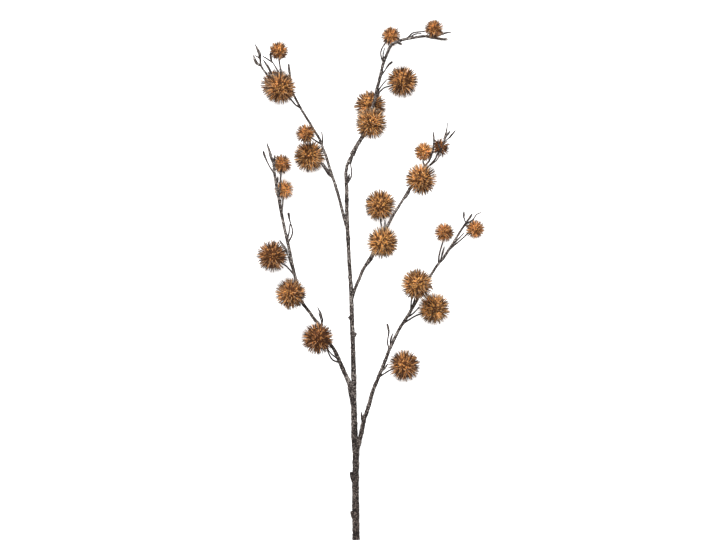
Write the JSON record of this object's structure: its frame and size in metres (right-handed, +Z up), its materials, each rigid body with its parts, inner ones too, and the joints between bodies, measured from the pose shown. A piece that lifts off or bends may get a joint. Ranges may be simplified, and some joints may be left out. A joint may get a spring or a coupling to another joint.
{
  "type": "artificial chestnut burr branch",
  "caption": "Artificial branch of spiny chestnut burrs on a forked woody stem with twigs and leaf buds, lying flat.",
  "frame": {"origin": "middle of the branch's outline seen from above, on the surface that it lies on", "axes": "+Y along the branch from the cut end of its trunk to its top, +X to the right with the cut end towards the viewer, +Z up from the surface"},
  "size_m": [0.4373, 0.9839, 0.1119],
  "materials": {
    "wood": "rough dark grey-brown bark",
    "burr": "golden brown bristling spines",
    "small_burr": "orange tan blunt spines"
  },
  "bodies": {
    "root": {"trunk": "wood", "branch_top": "wood", "branch_left_upper": "wood", "branch_left_lower": "wood", "branch_right_mid": "wood", "branch_right_lower": "wood", "burr_top_1": "burr", "burr_top_2": "burr", "burr_top_3": "burr", "burr_left_upper_1": "burr", "burr_left_upper_2": "burr", "burr_left_upper_3": "burr", "burr_left_lower_1": "burr", "burr_left_lower_2": "burr", "burr_left_lower_3": "burr", "burr_right_mid_1": "burr", "burr_right_mid_2": "burr", "burr_right_mid_3": "burr", "burr_right_lower_1": "burr", "burr_right_lower_2": "burr", "burr_right_lower_3": "burr", "small_burr_top_1": "small_burr", "small_burr_top_2": "small_burr", "small_burr_left_upper_1": "small_burr", "small_burr_left_upper_2": "small_burr", "small_burr_left_lower_1": "small_burr", "small_burr_left_lower_2": "small_burr", "small_burr_right_mid_1": "small_burr", "small_burr_right_mid_2": "small_burr", "small_burr_right_lower_1": "small_burr", "small_burr_right_lower_2": "small_burr"}
  },
  "joints": []
}
